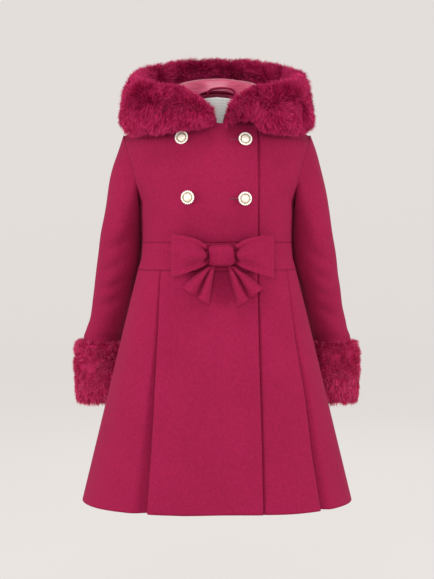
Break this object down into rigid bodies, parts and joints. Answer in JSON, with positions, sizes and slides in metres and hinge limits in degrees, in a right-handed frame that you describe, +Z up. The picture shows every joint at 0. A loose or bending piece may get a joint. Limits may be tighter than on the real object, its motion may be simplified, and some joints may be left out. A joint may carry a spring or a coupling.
{
  "type": "princess coat",
  "caption": "Girl's long-sleeved coat, filled out as worn, with a fur-trimmed hood thrown back, fur cuffs, a waist bow and a pleated skirt.",
  "frame": {"origin": "the middle of the neck, level with the side of the neck seam, where a wearer's neck and shoulders carry the coat", "axes": "+Z up along the wearer, -Y out of the coat's front, +X to the wearer's left"},
  "size_m": [0.516, 0.3413, 0.7725],
  "materials": {
    "wool": "felted wool coating",
    "fur": "dense soft pile",
    "lining": "satin",
    "tape": "woven tape",
    "label": "woven satin, blank",
    "pearl": "pearl, gloss"
  },
  "bodies": {
    "root": {"bodice_front_right": "wool", "bodice_front_left": "wool", "bodice_back": "wool", "waistband_front_right": "wool", "waistband_front_left": "wool", "waistband_back": "wool", "skirt_front_right": "wool", "skirt_front_left": "wool", "skirt_back": "wool", "sleeve_right": "wool", "sleeve_left": "wool", "cuff_right": "fur", "cuff_left": "fur", "hood_right": "wool", "hood_left": "wool", "hood_trim_right": "fur", "hood_trim_left": "fur", "hood_trim_back": "fur", "hood_lining": "lining", "neck_tape": "tape", "neck_label": "label", "hanger_loop": "wool", "bow_loop_right": "wool", "bow_loop_left": "wool", "bow_tail_right": "wool", "bow_tail_left": "wool", "bow_knot": "wool", "button_1": "pearl", "button_2": "pearl", "button_3": "pearl", "button_4": "pearl"}
  },
  "joints": []
}
